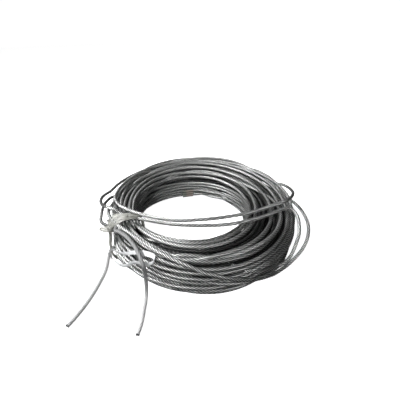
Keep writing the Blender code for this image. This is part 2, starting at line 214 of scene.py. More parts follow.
FRONT_TAIL = (
    (-84.0, -67.6, 49.7), (-78.8, -70.8, 50.4), (-70.6, -77.6, 50.6), (-62.5, -86.8, 50.1),
    (-56.4, -96.3, 50.2), (-51.5, -104.9, 47.1), (-48.9, -109.5, 42.2), (-48.7, -109.3, 31.0),
    (-48.9, -110.1, 20.4), (-49.4, -111.1, 12.6), (-49.8, -114.3, 6.0), (-50.1, -119.5, 3.0),
    (-50.3, -127.5, 2.1), (-50.3, -139.2, 2.1), (-51.9, -150.7, 2.1),
)
LEFT_TAIL = (
    (-103.4, -50.6, 2.1), (-102.7, -60.7, 2.1), (-100.9, -72.6, 2.1), (-100.6, -82.5, 2.1),
    (-101.5, -91.2, 2.1), (-103.8, -105.6, 2.1), (-107.3, -119.8, 2.1), (-112.0, -132.9, 2.1),
    (-116.5, -142.7, 2.1),
)

# Where each loose length comes out of the bundle, before its route, and goes back into it, after its route
UPPER_OUT = ((50.4, 98.9, 36.0), (66.2, 94.6, 36.6))
UPPER_IN = ((-82.3, 51.4, 49.5), (-72.5, 63.0, 46.5), (-61.7, 73.5, 43.0))
LOWER_OUT = ((-100.0, -42.0, 42.0), (-95.0, -44.5, 46.0), (-88.5, -46.0, 49.0))
LOWER_IN = ((49.0, -103.5, 30.0), (38.0, -100.5, 32.5), (28.0, -97.0, 34.0))
FRONT_OUT = ((-101.0, 0.0, 41.0), (-101.0, -9.0, 45.0), (-99.5, -18.0, 49.0))
FRONT_IN = ((91.8, 69.2, 31.0), (78.8, 78.8, 31.0))
LEFT_OUTER_OUT = ((-50.8, 99.8, 38.0), (-66.2, 94.6, 38.0))
LEFT_OUTER_IN = ((-76.5, -43.5, 48.0), (-71.5, -47.5, 44.0), (-68.0, -53.0, 39.0))
LEFT_INNER_OUT = ((-56.0, 83.0, 22.0), (-70.5, 82.5, 21.0), (-85.5, 76.2, 20.6))
LEFT_INNER_IN = ((-109.5, -37.5, 35.0), (-101.5, -44.5, 37.5), (-93.0, -50.5, 40.0))
FRONT_TAIL_OUT = ((-82.0, -42.0, 42.0), (-84.0, -54.0, 45.5), (-85.0, -60.5, 48.5))
LEFT_TAIL_OUT = ((-90.0, -26.0, 6.0), (-96.0, -33.0, 3.5), (-101.0, -41.0, 2.1))

# Cut ends of the tails: the strands end at slightly different lengths
STRAND_RADIUS = 0.62 * MM
STRAND_RING = 1.28 * MM
STRAND_CORNERS = 8
CUT_OVERLAP = 1.0
CUT_LENGTHS = (0.5, 1.1, 0.3, 0.9, 0.2, 0.7)

# Film, seen at the tie from inside the bore over the top and down the wall: distance from the axis, height,
# shift along the coil and half width, in millimetres
FILM_BAND = (
    (76.4, 2.0, 3.5, 4.0), (75.4, 24.0, 3.5, 3.5), (75.6, 43.0, 3.5, 3.5), (79.5, 51.8, 3.5, 3.2),
    (85.0, 53.6, 2.5, 4.8), (92.0, 54.0, 0.5, 6.8), (99.0, 53.6, -2.0, 8.0), (104.5, 51.8, -3.0, 7.8),
    (108.5, 48.5, -3.0, 6.0), (110.5, 43.5, -1.5, 3.8), (111.0, 36.0, -2.5, 3.4), (112.4, 27.0, -3.2, 3.4),
    (113.6, 17.0, -3.0, 3.4), (113.4, 7.0, -2.0, 3.2), (107.5, 1.0, 0.0, 3.2), (90.0, 0.5, 2.0, 3.5),
)
FILM_GRID = (8, 17)
FILM_PLEATS = 3.2
FILM_PLEAT_DEPTH = 1.0 * MM
FILM_CRUMPLE = 0.10 * MM
FILM_LOWEST = 0.2

# Knot of the film, its flattened end and its frayed fibres, at the tie: distance, shift and height, and for
# the end also half width, in millimetres
KNOT_PLACE = (109.5, -1.0, 45.0)
KNOT_SIZE = (7.0, 9.0, 9.5)
KNOT_FOLDS = 7
KNOT_FOLD_DEPTH = 0.13
KNOT_GRID = (36, 20)
FILM_END = (
    (110.0, -1.0, 43.0, 2.2), (112.0, -3.0, 43.2, 2.9), (114.0, -5.0, 43.2, 3.2), (116.0, -7.0, 43.0, 3.0),
    (118.0, -9.0, 42.6, 2.3), (119.6, -10.5, 42.2, 0.9),
)
FILM_END_ACROSS = (0.50, 0.52, -0.70)
FILM_END_FACING = (0.08, 0.78, 0.63)
FIBRES = 18
FIBRE_RADIUS = 0.14 * MM
FIBRE_STARTS = ((108.5, -6.0, 38.0), (110.5, 1.0, 43.5))
FIBRE_REACHES = ((1.0, -10.0, -11.0), (6.0, 2.5, -3.0))
FIBRE_BOW = 1.3

# Ribbon against the wall: azimuth in degrees, height as a share of the bundle's, and at its left the angle
# in degrees by which its width has turned outwards. Its gaps are those of its upper run, its lower run and
# its left end.
RIBBON_WIDTH = 5.0 * MM
RIBBON_WALL = 113.6 * MM
RIBBON_EDGE = 12.0 * MM
RIBBON_UPPER_GAP = 0.4 * MM
RIBBON_LOWER_GAP = 1.9 * MM
RIBBON_LEFT_GAP = 2.4 * MM
RIBBON_CURL = 0.35 * MM
RIBBON_FOLD_TURN = 1.2
RIBBON_UPPER_RUN = (
    (217.0, 0.483), (224.2, 0.642), (230.5, 0.781), (234.8, 0.881),
    (238.1, 0.938), (242.4, 0.965), (245.1, 0.971), (248.0, 0.967),
)
RIBBON_LOWER_RUN = (
    (248.4, 0.902), (246.0, 0.844), (241.3, 0.804), (237.6, 0.727),
    (234.2, 0.588), (229.3, 0.406), (224.4, 0.275), (220.0, 0.205),
)
RIBBON_LEFT_START = ((215.4, 0.445, 35.0), (216.2, 0.465, 18.0))
RIBBON_LEFT_END = (
    (217.0, 0.190, 20.0), (215.9, 0.240, 35.0), (215.4, 0.310, 42.0), (215.3, 0.380, 42.0),
)

# Patch of tape on the wall of the bore
TAPE_AZIMUTHS = (96.8, 111.5)
TAPE_RADIUS = 62.8 * MM
TAPE_HEIGHTS = (5.0 * MM, 17.0 * MM)
TAPE_BUMP = 0.45 * MM
TAPE_POINTS = 25

# Camera, from the coil's axis on the floor
CAMERA_PLACE = np.array((2.9, -278.5, 233.5)) * MM
CAMERA_PITCH = math.radians(34.6)
CAMERA_LENS_MM = 24.3
CAMERA_SENSOR_MM = 36.0

# Softboxes: name, azimuth and elevation in degrees, distance, size and power
SOFTBOXES = (
    ("key_softbox", 188.0, 46.0, 1.2, (0.3, 0.3), 14.0),
    ("front_softbox", 238.0, 45.0, 1.2, (0.36, 0.36), 6.0),
    ("back_softbox", 128.0, 48.0, 1.2, (0.4, 0.2), 4.2),
    ("right_softbox", 305.0, 30.0, 1.2, (0.5, 0.3), 4.2),
)
LIGHT_TARGET = (0.0, 0.0, 0.02)
WORLD_LIGHT = 0.014
FLOOR_SIZE = 6.0
DOME_RADIUS = 2.9
FLOOR_GLOW = 0.96


def curve_points(padded, steps):
    """Points on the smooth curve from the second of the given points to the last but one."""
    fine = []
    for before, start, end, after in zip(padded, padded[1:], padded[2:], padded[3:]):
        for u in np.linspace(0.0, 1.0, steps, endpoint=False):
            fine.append(0.5 * (2 * start + (end - before) * u
                               + (2 * before - 5 * start + 4 * end - after) * u * u
                               + (3 * start - before - 3 * end + after) * u ** 3))
    fine.append(padded[-2])
    return np.array(fine)


def open_padding(knots):
    return np.vstack((2 * knots[0] - knots[1], knots, 2 * knots[-1] - knots[-2]))


def smooth_route(points, spacing):
    """Evenly spaced points on one smooth curve through the route's own points."""
    knots = np.array(points) * MM
    return even_points(curve_points(open_padding(knots), 16), spacing)


def smooth_stations(stations, steps, closed):
    """Finer stations on a smooth curve through the given ones."""
    knots = np.array(stations)
    if closed:
        return curve_points(np.vstack((knots[-1], knots, knots[0], knots[1])), steps)
    return curve_points(open_padding(knots), steps)


def lengths_along(points):
    steps = np.linalg.norm(np.diff(points, axis=0), axis=1)
    return np.concatenate(((0.0,), np.cumsum(steps)))


def even_points(points, spacing):
    lengths = lengths_along(points)
    stations = np.linspace(0.0, lengths[-1], max(2, round(lengths[-1] / spacing) + 1))
    return np.stack([np.interp(stations, lengths, points[:, axis]) for axis in range(3)], axis=1)


def unit(vectors):
    return vectors / np.linalg.norm(vectors, axis=-1, keepdims=True)


def side_vectors(tangents):
    """One side vector at each point, carried along the line without turning about it."""
    sides = np.empty_like(tangents)
    start = np.cross(tangents[0], (0.0, 0.0, 1.0))
    if np.linalg.norm(start) < 0.1:
        start = np.cross(tangents[0], (0.0, 1.0, 0.0))
    side = start / np.linalg.norm(start)
    for index, tangent in enumerate(tangents):
        side = side - tangent * (side @ tangent)
        side /= math.sqrt(side @ side)
        sides[index] = side
    return sides


def strand_edge(angles):
    """Distance of the rope's edge from its middle, as a share of its radius: a lobe for each strand."""
    within = (angles * STRANDS / (2 * math.pi)) % 1.0
    off_centre = (within - 0.5) * 2 * math.pi / STRANDS
    strand = 1 / 3
    reach = 2 * strand * np.cos(off_centre)
    bulge = np.maximum(strand ** 2 - (2 * strand * np.sin(off_centre)) ** 2, 0.0)
    return np.maximum(reach + np.sqrt(bulge), GROOVE_FLOOR)


def rope_skin(centres, edge, stations):
    """Points on the rope's skin, its strands turning round it as laid, and the middles of its ends."""
    tangents = unit(np.gradient(centres, axis=0))
    sides = side_vectors(tangents)
    ups = np.cross(tangents, sides)
    corner_angles = 2 * math.pi * np.arange(len(edge)) / len(edge)
    angles = corner_angles[None, :] + 2 * math.pi * stations[:, None] / LAY_LENGTH
    offsets = np.cos(angles)[..., None] * sides[:, None, :] + np.sin(angles)[..., None] * ups[:, None, :]
    skin = centres[:, None, :] + ROPE_RADIUS * edge[None, :, None] * offsets
    return np.vstack((skin.reshape(-1, 3), centres[0], centres[-1])) + AXIS


def rope_faces(count, corners):
    """Vertex numbers of the skin's quads and its ends' triangles, and how many each face has."""
    ring = np.arange(corners)
    after = (ring + 1) % corners
    base = (np.arange(count - 1) * corners)[:, None]
    quads = np.stack((base + ring, base + after, base + corners + after, base + corners + ring), axis=-1)
    last = (count - 1) * corners
    start_cap = np.stack((np.full(corners, count * corners), after, ring), axis=-1)
    end_cap = np.stack((np.full(corners, count * corners + 1), last + ring, last + after), axis=-1)
    loops = np.concatenate((quads.ravel(), start_cap.ravel(), end_cap.ravel()))
    sizes = np.concatenate((np.full(quads.size // 4, 4), np.full(2 * corners, 3)))
    return loops, sizes


def lay_uv(stations, corners):
    """UV of each face's corners: turns round the rope from a strand's start, and turns of the lay."""
    turned = stations / LAY_LENGTH
    step = 1 / corners
    across = np.broadcast_to((np.arange(corners) / corners)[None, :], (len(stations) - 1, corners))
    low = across + turned[:-1, None]
    high = across + turned[1:, None]
    along_low = np.broadcast_to(turned[:-1, None], low.shape)
    along_high = np.broadcast_to(turned[1:, None], low.shape)
    wall = np.stack((low, along_low, low + step, along_low,
                     high + step, along_high, high, along_high), axis=-1)
    caps = np.zeros(2 * corners * 3 * 2)
    return np.concatenate((wall.ravel(), caps)).astype(np.float32)


def rope_piece(name, centres, sides_per_strand, material):
    """A length of rope swept along its centres, with how far each point is up its strand as crest."""
    corners = STRANDS * sides_per_strand
    edge = strand_edge(2 * math.pi * np.arange(corners) / corners)
    stations = lengths_along(centres)
    vertices = rope_skin(centres, edge, stations)
    loops, sizes = rope_faces(len(centres), corners)
    starts = np.concatenate(((0,), np.cumsum(sizes)[:-1]))

    mesh = bpy.data.meshes.new(name)
    mesh.vertices.add(len(vertices))
    mesh.vertices.foreach_set("co", vertices.astype(np.float32).ravel())
    mesh.loops.add(len(loops))
    mesh.loops.foreach_set("vertex_index", loops.astype(np.int32))
    mesh.polygons.add(len(sizes))
    mesh.polygons.foreach_set("loop_start", starts.astype(np.int32))
    mesh.update(calc_edges=True)

    layer = mesh.uv_layers.new(name="lay")
    layer.data.foreach_set("uv", lay_uv(stations, corners))
    crest = (edge - GROOVE_FLOOR) / (1 - GROOVE_FLOOR)
    heights = np.concatenate((np.tile(crest, len(centres)), (0.5, 0.5)))
    attribute = mesh.attributes.new("crest", "FLOAT", "POINT")
    attribute.data.foreach_set("value", heights.astype(np.float32))
    return add_piece(name, mesh, material)


def turned_by(azimuths, centre):
    """Angle from a centre to each azimuth, between minus and plus half a turn."""
    return (azimuths - centre + math.pi) % (2 * math.pi) - math.pi


def section_sizes(azimuths):
    """Middle radius, half width and half height of the bundle's section at each azimuth."""
    direction = np.stack((np.cos(azimuths), np.sin(azimuths)), axis=-1)
    along = direction @ BORE_CENTRE
    bore = along + np.sqrt(along ** 2 + BORE_RADIUS ** 2 - BORE_CENTRE @ BORE_CENTRE)
    near_tie = np.exp(-(turned_by(azimuths, TIE_PINCH_AZIMUTH) / TIE_PINCH_ANGLE) ** 2)
    outer = OUTER_RADIUS - TIE_PINCH * near_tie
    for order, cosine, sine in OUTER_SWINGS:
        outer = outer + cosine * np.cos(order * azimuths) + sine * np.sin(order * azimuths)
    half_height = BUNDLE_HEIGHT / 2 * (1 - TIE_LOWERING * near_tie)
    return (outer + bore) / 2, (outer - bore) / 2, half_height


def wave(rng, azimuths, amplitude):
    """Slow random swing round the coil."""
    total = np.zeros_like(azimuths)
    for order, share in SLOW_SWINGS:
        total += share * rng.normal() * np.cos(order * azimuths + rng.uniform(0, 2 * math.pi))
    return amplitude * total / SLOW_SWINGS_SIZE


def open_gap(angles):
    """Move the slots round the section away from the gap between the top and the wall."""
    away = turned_by(angles, GAP_ANGLE)
    return angles + GAP_WIDTH * np.sign(away) * np.exp(-(away / GAP_SPREAD) ** 2)


def wound_turns():
    """Radius and height of every turn at every azimuth step, before they settle."""
    rng = np.random.default_rng(SEED)
    azimuths = TIE_AZIMUTH + 2 * math.pi * np.arange(STEPS_PER_TURN) / STEPS_PER_TURN
    middle, half_width, half_height = section_sizes(azimuths)
    slots = []
    for depth, turns in LAYERS:
        slots.extend((depth, 2 * math.pi * index / turns, False) for index in range(turns))
    slots.extend((1.0, angle, True) for angle in rng.uniform(0, 2 * math.pi, OVERLAY_TURNS))
    around = np.linspace(0.0, 1.0, STEPS_PER_TURN, endpoint=False)
    fan = FAN_TURN * np.exp(-(turned_by(azimuths, FAN_AZIMUTH) / FAN_SPREAD) ** 2)
    turns = []
    proud = []
    for (depth, angle, over), (next_depth, next_angle, _) in zip(slots, slots[1:] + slots[-1:]):
        start = open_gap(angle)
        drift = turned_by(open_gap(next_angle), start)
        swing = wave(rng, azimuths, OVERLAY_WANDER if over else WANDER)
        angles = start + drift * around + swing + fan
        depths = depth + (next_depth - depth) * around
        out, up = on_section(angles)
        radius = middle + (half_width - ROPE_RADIUS) * depths * out
        height = half_height + (half_height - ROPE_RADIUS) * depths * up
        turns.append(np.stack((radius, height), axis=-1))
        proud.append((OVERLAY_PROUD if over else 0.0) + wave(rng, azimuths, PROUD_WANDER))
    return azimuths, np.array(turns), np.array(proud)


def section_reach(out, up):
    """Share of the way from the section's middle to the edge of its rounded square."""
    return (np.abs(out) ** SECTION_POWER + np.abs(up) ** SECTION_POWER) ** (1 / SECTION_POWER)


def on_section(angles):
    """Share of the half width and of the half height at each angle round the section's rounded square."""
    out = np.cos(angles)
    up = np.sin(angles)
    reach = section_reach(out, up)
    return out / reach, up / reach


def settle(azimuths, turns, proud):
    """Push turns that touch apart, keep each one smooth and hold them inside the section."""
    middle, half_width, half_height = section_sizes(azimuths)
    count, steps, _ = turns.shape
    for _ in range(SETTLE_ROUNDS):
        chain = turns.reshape(-1, 2)
        chain[1:-1] += SETTLE_SMOOTHING * (chain[:-2] + chain[2:] - 2 * chain[1:-1])
        turns = chain.reshape(count, steps, 2)
        apart = turns[:, None] - turns[None]
        distance = np.sqrt((apart ** 2).sum(-1)) + 1e-9
        push = np.maximum(SETTLE_SPACING - distance, 0.0) / distance
        push[np.arange(count), np.arange(count)] = 0.0
        turns = turns + SETTLE_PUSH * (apart * push[..., None]).sum(1)
        across = (turns[..., 0] - middle) / (half_width - ROPE_RADIUS + proud)
        up = (turns[..., 1] - half_height) / (half_height - ROPE_RADIUS + proud)
        shrink = 1 / np.maximum(section_reach(across, up), 1.0)
        turns[..., 0] = middle + (turns[..., 0] - middle) * shrink
        turns[..., 1] = half_height + (turns[..., 1] - half_height) * shrink
        turns[..., 1] = np.clip(turns[..., 1], ROPE_RADIUS + 0.1 * MM, HEIGHT_LIMIT - ROPE_RADIUS)
    return turns


def spread_foot(azimuths, turns):
    """Let the lowest turns lie further out beside the tie, which pulls in the upper ones."""
    middle, half_width, _ = section_sizes(azimuths)
    near_tie = np.exp(-(turned_by(azimuths, LEFT_FOOT_AZIMUTH) / LEFT_FOOT_ANGLE) ** 2)
    low = np.clip(1 - turns[..., 1] / LEFT_FOOT_TOP, 0.0, 1.0)
    out = np.clip((turns[..., 0] - middle) / half_width, 0.0, 1.0)
    turns[..., 0] += LEFT_FOOT * near_tie * low * out
    return turns


def turn_centres(azimuths, turns, first, last, spacing):
    """Points along the rope from the start of one turn to the end of another."""
    steps = len(azimuths)
    chain = turns.reshape(-1, 2)[first * steps:last * steps + 1]
    angles = TIE_AZIMUTH + 2 * math.pi * (np.arange(len(chain)) / steps)
    fine = np.linspace(0, len(chain) - 1, 4 * (len(chain) - 1) + 1)
    radius = np.interp(fine, np.arange(len(chain)), chain[:, 0])
    height = np.interp(fine, np.arange(len(chain)), chain[:, 1])
    angle = np.interp(fine, np.arange(len(chain)), angles)
    points = np.stack((radius * np.cos(angle), radius * np.sin(angle), height), axis=-1)
    return even_points(points, spacing)


def new_material(name):
    material = bpy.data.materials.new(name)
    material.use_nodes = True
    nodes = material.node_tree.nodes
    return material, nodes, material.node_tree.links, nodes["Principled BSDF"]


def add_ramp(nodes, links, value, stops):
    """Colour ramp fed by a value."""
    ramp = nodes.new("ShaderNodeValToRGB")
    elements = ramp.color_ramp.elements
    while len(elements) < len(stops):
        elements.new(0.5)
    for element, (position, colour) in zip(elements, stops):
        element.position = position
        element.color = (*colour, 1.0)
    links.new(value, ramp.inputs["Fac"])
    return ramp.outputs["Color"]


def add_range(nodes, links, value, low, high, start=0.3, end=0.7):
    """Value remapped from a noise's usual spread to another range."""
    span = nodes.new("ShaderNodeMapRange")
    span.inputs["From Min"].default_value = start
    span.inputs["From Max"].default_value = end
    span.inputs["To Min"].default_value = low
    span.inputs["To Max"].default_value = high
    links.new(value, span.inputs["Value"])
    return span.outputs["Result"]


def add_noise(nodes, links, vector, scale, detail=3.0):
    noise = nodes.new("ShaderNodeTexNoise")
    noise.inputs["Scale"].default_value = scale
    noise.inputs["Detail"].default_value = detail
    links.new(vector, noise.inputs["Vector"])
    return noise.outputs["Fac"]


def add_multiply(nodes, links, colour, factor):
    mix = nodes.new("ShaderNodeMixRGB")
    mix.blend_type = "MULTIPLY"
    mix.inputs["Fac"].default_value = 1.0
    links.new(colour, mix.inputs["Color1"])
    links.new(factor, mix.inputs["Color2"])
    return mix.outputs["Color"]


def add_stretch(nodes, links, vector, scale):
    stretch = nodes.new("ShaderNodeMapping")
    stretch.inputs["Scale"].default_value = scale
    links.new(vector, stretch.inputs["Vector"])
    return stretch.outputs["Vector"]


def uv_vector(nodes, name):
    uv_node = nodes.new("ShaderNodeUVMap")
    uv_node.uv_map = name
    return uv_node.outputs["UV"]


def object_vector(nodes):
    return nodes.new("ShaderNodeTexCoord").outputs["Object"]


def add_bump(nodes, links, height, strength, distance, shader):
    bump = nodes.new("ShaderNodeBump")
    bump.inputs["Strength"].default_value = strength
    bump.inputs["Distance"].default_value = distance
    links.new(height, bump.inputs["Height"])
    links.new(bump.outputs["Normal"], shader.inputs["Normal"])


def wire_material(name, metallic, roughness, groove_shade, flank_colour, crest_highlight, shaded_top=False):
    """Galvanised strands with their wires: painted highlight on the crests, greasy flanks and grooves
    darkened as painted shade.
    """
    material, nodes, links, shader = new_material(name)
    shader.inputs["Metallic"].default_value = metallic
    place = object_vector(nodes)
    lay = uv_vector(nodes, "lay")
    crest = nodes.new("ShaderNodeAttribute")
    crest.attribute_name = "crest"
    # Grease with painted shade in the grooves and on the flanks, and painted highlight on the crests, set
    # by how far up its strand each point lies
    colour = add_ramp(nodes, links, crest.outputs["Fac"],
                      ((0.0, groove_shade), (0.4, flank_colour), (1.0, crest_highlight)))
    patches = add_noise(nodes, links, place, PATCH_SCALE)
    lengthwise = add_stretch(nodes, links, lay, (0.0, LENGTHS_PER_LAY, 0.0))
    lengths = add_noise(nodes, links, lengthwise, 1.0, 2.0)
    colour = add_multiply(nodes, links, colour, add_range(nodes, links, patches, *PATCH_SHADE))
    colour = add_multiply(nodes, links, colour, add_range(nodes, links, lengths, *LENGTHS_SHADE))
    # Painted shade: the colour darkens towards the top
    if shaded_top:
        height = nodes.new("ShaderNodeSeparateXYZ")
        links.new(place, height.inputs["Vector"])
        top_shade = add_range(nodes, links, height.outputs["Z"],
                                 *TOP_SHADE_FACTORS, *TOP_SHADE_HEIGHTS)
        colour = add_multiply(nodes, links, colour, top_shade)
    links.new(colour, shader.inputs["Base Color"])
    links.new(add_range(nodes, links, patches, *roughness), shader.inputs["Roughness"])
    wires = nodes.new("ShaderNodeTexWave")
    wires.bands_direction = "X"
    wires.inputs["Scale"].default_value = WAVE_SCALE
    wires.inputs["Distortion"].default_value = 0.0
    links.new(add_stretch(nodes, links, lay, (WIRE_RIBS, 0.0, 0.0)), wires.inputs["Vector"])
    add_bump(nodes, links, wires.outputs["Fac"], 0.4, WIRE_DEPTH, shader)
    return material


def film_material():
    """Milky split film, streaked along its length and crumpled."""
    material, nodes, links, shader = new_material("split_film")
    lengthwise = add_stretch(nodes, links, uv_vector(nodes, "flat"), FILM_STREAK_STRETCH)
    streaks = add_noise(nodes, links, lengthwise, FILM_STREAK_SCALE)
    crumple = add_noise(nodes, links, object_vector(nodes), FILM_CRUMPLE_SCALE, 5.0)
    colour = add_ramp(nodes, links, streaks, FILM_COLOURS)
    colour = add_multiply(nodes, links, colour, add_range(nodes, links, crumple, *FILM_SHADE))
    links.new(colour, shader.inputs["Base Color"])
    links.new(add_range(nodes, links, crumple, *FILM_ROUGHNESS), shader.inputs["Roughness"])
    shader.inputs["Transmission Weight"].default_value = FILM_TRANSMISSION
    shader.inputs["IOR"].default_value = FILM_IOR
    add_bump(nodes, links, crumple, 0.8, FILM_CREASE_DEPTH, shader)
    return material


def ribbon_material():
    """White satin ribbon with fine threads along it."""
    material, nodes, links, shader = new_material("satin_ribbon")
    lengthwise = add_stretch(nodes, links, uv_vector(nodes, "flat"), RIBBON_THREAD_STRETCH)
    threads = add_noise(nodes, links, lengthwise, RIBBON_THREAD_SCALE)
    creases = add_noise(nodes, links, object_vector(nodes), RIBBON_CREASE_SCALE)
    colour = add_ramp(nodes, links, threads, RIBBON_COLOURS)
    colour = add_multiply(nodes, links, colour, add_range(nodes, links, creases, *RIBBON_SHADE))
    links.new(colour, shader.inputs["Base Color"])
    links.new(add_range(nodes, links, threads, *RIBBON_ROUGHNESS), shader.inputs["Roughness"])
    shader.inputs["Sheen Weight"].default_value = RIBBON_SHEEN
    add_bump(nodes, links, creases, 0.5, RIBBON_CREASE_DEPTH, shader)
    return material


def tape_material():
    """Matt paper tape: grey-green at its left, pinkish beige over the rest, a little creased."""
    material, nodes, links, shader = new_material("paper_tape")
    split = nodes.new("ShaderNodeSeparateXYZ")
    links.new(uv_vector(nodes, "flat"), split.inputs["Vector"])
    colour = add_ramp(nodes, links, split.outputs["Y"], TAPE_COLOURS)
    fibres = add_noise(nodes, links, object_vector(nodes), TAPE_FIBRE_SCALE, 5.0)
    colour = add_multiply(nodes, links, colour, add_range(nodes, links, fibres, *TAPE_SHADE))
    links.new(colour, shader.inputs["Base Color"])
    links.new(add_range(nodes, links, fibres, *TAPE_ROUGHNESS), shader.inputs["Roughness"])
    add_bump(nodes, links, fibres, 0.4, TAPE_CREASE_DEPTH, shader)
    return material


def make_wound_turns(material, core_material):
    """Pieces of the wound rope, each of some turns, the hidden ones in darker colours than those on the
    surface, as painted shade.
    """
    azimuths, turns, proud = wound_turns()
    turns = settle(azimuths, turns, proud)
    turns = spread_foot(azimuths, turns)
    core = sum(count for _, count in LAYERS[:-1])
    second = core + OUTER_PIECE_TURNS
    third = second + OUTER_PIECE_TURNS
    spans = (("core_turns_first", 0, core // 2, CORE_DETAIL, core_material),
             ("core_turns_second", core // 2, core, CORE_DETAIL, core_material),
             ("outer_turns_first", core, second, OUTER_DETAIL, material),
             ("outer_turns_second", second, third, OUTER_DETAIL, material),
             ("outer_turns_third", third, len(turns), OUTER_DETAIL, material))
    pieces = []
    for name, first, last, (sides_per_strand, spacing), piece_material in spans:
        centres = turn_centres(azimuths, turns, first, last, spacing)
        piece = rope_piece(name, centres, sides_per_strand, piece_material)
        declare_rope(centres)
        pieces.append(piece)
    for piece in pieces:
        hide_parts("rope_coil")


def declare_rope(centres):
    """Every fourth of the rope's points and its last one, taken as its path; the path is not used."""
    path = centres[::4]
    if (len(centres) - 1) % 4:
        path = np.vstack((path, centres[-1]))


def make_loose_rope(material, lit_tail_material):
    """The loose turns, and the two tails with their cut ends in a lighter copy of the rope's colours,
    painted light.
    """
    routes = (("loose_rope_upper", UPPER_OUT + UPPER_TURN + UPPER_IN, "loose_turn_upper", "object"),
              ("loose_rope_lower", LOWER_OUT + LOWER_TURN + LOWER_IN, "loose_turn_lower", "object"),
              ("loose_rope_front", FRONT_OUT + FRONT_TURN + FRONT_IN, "loose_turn_front", "object"),
              ("loose_rope_left_outer", LEFT_OUTER_OUT + LEFT_TURN_OUTER + LEFT_OUTER_IN,
               "loose_turn_left_outer", "object"),
              ("loose_rope_left_inner", LEFT_INNER_OUT + LEFT_TURN_INNER[:-2] + LEFT_INNER_IN,
               "loose_turn_left_inner", "object"),
              ("tail_rope_front", FRONT_TAIL_OUT + FRONT_TAIL, "rope_tail_front", "bare"),
              ("tail_rope_left", LEFT_TAIL_OUT + LEFT_TAIL, "rope_tail_left", "bare"))
    sides_per_strand, spacing = LOOSE_DETAIL
    for name, route, node, far_end in routes:
        centres = smooth_route(route, spacing)
        is_tail = far_end == "bare"
        piece = rope_piece(name, centres, sides_per_strand, lit_tail_material if is_tail else material)
        ends = [make_cut_end(name + "_cut", centres, lit_tail_material)] if is_tail else []
        declare_rope(centres)
        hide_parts(node)


def make_cut_end(name, centres, material):
    """Short ends of the strands, left at slightly different lengths where the rope was cut."""
    tangent = unit(centres[-1] - centres[-3])
    side = unit(np.cross(tangent, (0.0, 0.0, 1.0)))
    up = np.cross(side, tangent)
    tubes = []
    for index, length in enumerate(CUT_LENGTHS):
        angle = 2 * math.pi * (index + 0.3) / STRANDS
        offset = STRAND_RING * (math.cos(angle) * side + math.sin(angle) * up)
        start = centres[-1] + offset - tangent * CUT_OVERLAP * MM
        steps = np.linspace(0.0, CUT_OVERLAP + length, 4)[:, None] * MM
        tubes.append((start + steps * tangent, STRAND_RADIUS))
    return tube_piece(name, tubes, STRAND_CORNERS, material)


def tube_piece(name, tubes, corners, material):
    """Round tubes along lines of points, joined as one piece and closed at their ends."""
    vertices = []
    faces = []
    for points, radius in tubes:
        tangents = unit(np.gradient(points, axis=0))
        sides = side_vectors(tangents)
        ups = np.cross(tangents, sides)
        first = len(vertices)
        for point, side, up in zip(points, sides, ups):
            for corner in range(corners):
                angle = 2 * math.pi * corner / corners
                vertices.append(point + radius * (math.cos(angle) * side + math.sin(angle) * up) + AXIS)
        last = first + (len(points) - 1) * corners
        for ring in range(first, last, corners):
            for corner in range(corners):
                after = (corner + 1) % corners
                faces.append((ring + corner, ring + after, ring + corners + after, ring + corners + corner))
        faces.append(tuple(range(first, first + corners))[::-1])
        faces.append(tuple(range(last, last + corners)))
    mesh = bpy.data.meshes.new(name)
    mesh.from_pydata([tuple(vertex) for vertex in vertices], [], faces)
    return add_piece(name, mesh, material)


def add_piece(name, mesh, material):
    mesh.shade_smooth()
    mesh.materials.append(material)
    piece = bpy.data.objects.new(name, mesh)
    bpy.context.scene.collection.objects.link(piece)
    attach(piece, "root")
    return piece


def sheet_piece(name, rows, material):
    """Thin sheet through rows of points, with its flat size in metres as its UV map."""
    count, across, _ = rows.shape
    grid = np.arange(count * across).reshape(count, across)
    corners = (grid[:-1, :-1], grid[:-1, 1:], grid[1:, 1:], grid[1:, :-1])
    faces = np.stack(corners, axis=-1).reshape(-1, 4)
    points = (rows.reshape(-1, 3) + AXIS).tolist()
    mesh = bpy.data.meshes.new(name)
    mesh.from_pydata([tuple(point) for point in points], [], faces.tolist())
    along = lengths_along(rows[:, across // 2])
    width = lengths_along(rows[count // 2])
    flat = np.stack(np.broadcast_arrays(width[None, :], along[:, None]), axis=-1).reshape(-1, 2)
    layer = mesh.uv_layers.new(name="flat")
    layer.data.foreach_set("uv", flat[faces.ravel()].astype(np.float32).ravel())
    return add_piece(name, mesh, material)


def at_tie(distance, shift, height):
    """Point at the tie from its distance from the axis, shift along the coil and height in millimetres."""
    radial = np.array((math.cos(TIE_AZIMUTH), math.sin(TIE_AZIMUTH), 0.0))
    tangent = np.array((-math.sin(TIE_AZIMUTH), math.cos(TIE_AZIMUTH), 0.0))
    return MM * (distance * radial + shift * tangent + height * np.array((0.0, 0.0, 1.0)))


def film_rows():
    """Rows of points across the film's band, pleated along its length."""
    rng = np.random.default_rng(SEED)
    steps, columns = FILM_GRID
    stations = smooth_stations(FILM_BAND, steps, True)
    shares = np.linspace(-1.0, 1.0, columns)
    count = len(stations)
    turn = 2 * math.pi * np.arange(count) / (count - 1)
    phase = 1.3 * np.sin(turn * 2 + 0.4) + 0.9 * np.sin(turn * 5 + 1.0)
    fine = rng.normal(0.0, FILM_CRUMPLE, (count, columns))
    fine[-1] = fine[0]
    slope = np.gradient(stations, axis=0)
    rows = []
    for index, (distance, height, shift, half_width) in enumerate(stations):
        outward = unit(np.array((-slope[index, 1], slope[index, 0])))
        pleat = FILM_PLEAT_DEPTH * np.sin(FILM_PLEATS * math.pi * shares + phase[index]) + fine[index]
        row = []
        for share, lift in zip(shares, pleat):
            out, up = outward * lift / MM
            row.append(at_tie(distance + out, shift + share * half_width, max(height + up, FILM_LOWEST)))
        rows.append(row)
    return np.array(rows)


